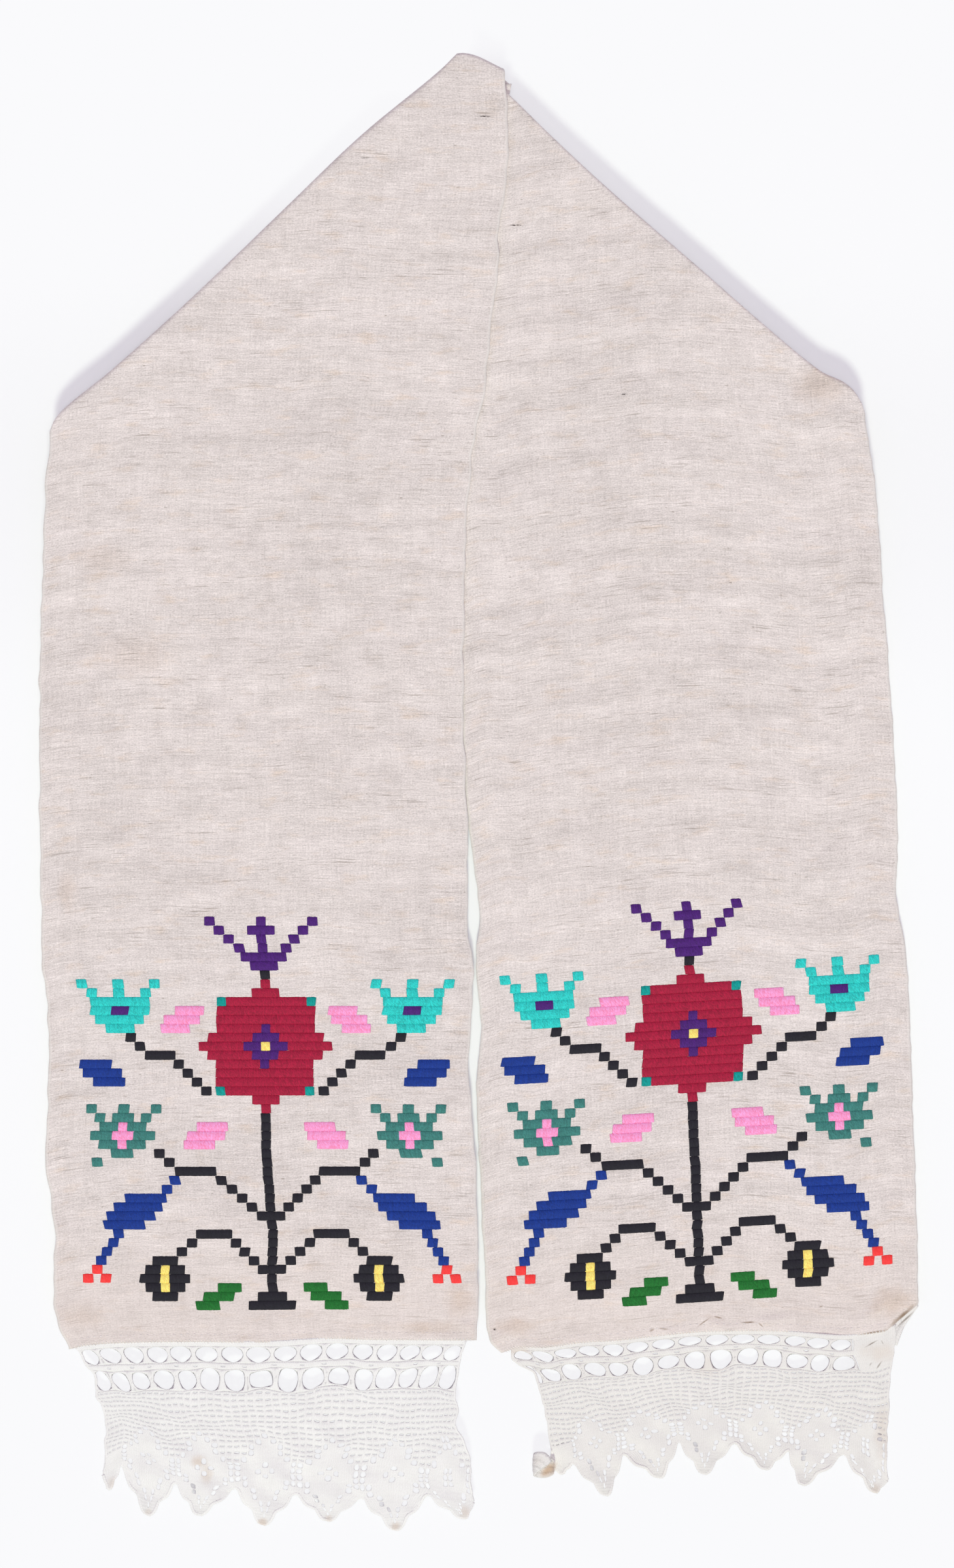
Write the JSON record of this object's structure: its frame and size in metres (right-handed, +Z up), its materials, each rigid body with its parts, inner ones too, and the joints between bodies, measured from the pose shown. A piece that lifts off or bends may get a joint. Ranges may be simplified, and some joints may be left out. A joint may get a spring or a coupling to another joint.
{
  "type": "rushnyk",
  "caption": "Long linen ritual towel hung folded over at its middle, with its two embroidered ends side by side and crocheted scalloped lace along both hems.",
  "frame": {"origin": "middle of the short top edge of the fold, where the towel is held up", "axes": "+Z up along the hanging cloth; the front of the cloth faces -Y; +X is to the right seen from the front"},
  "size_m": [0.8281, 0.0227, 1.389],
  "materials": {
    "linen": "handwoven undyed linen, matt, slubby, with darker weft streaks",
    "lace": "crocheted off-white cotton thread, matt",
    "embroidery": "dyed soft thread in raised satin stitch, in crimson, black, blue, pink, turquoise, green and purple"
  },
  "bodies": {
    "root": {"cloth": "linen", "lace_left": "lace", "lace_right": "lace"}
  },
  "joints": []
}
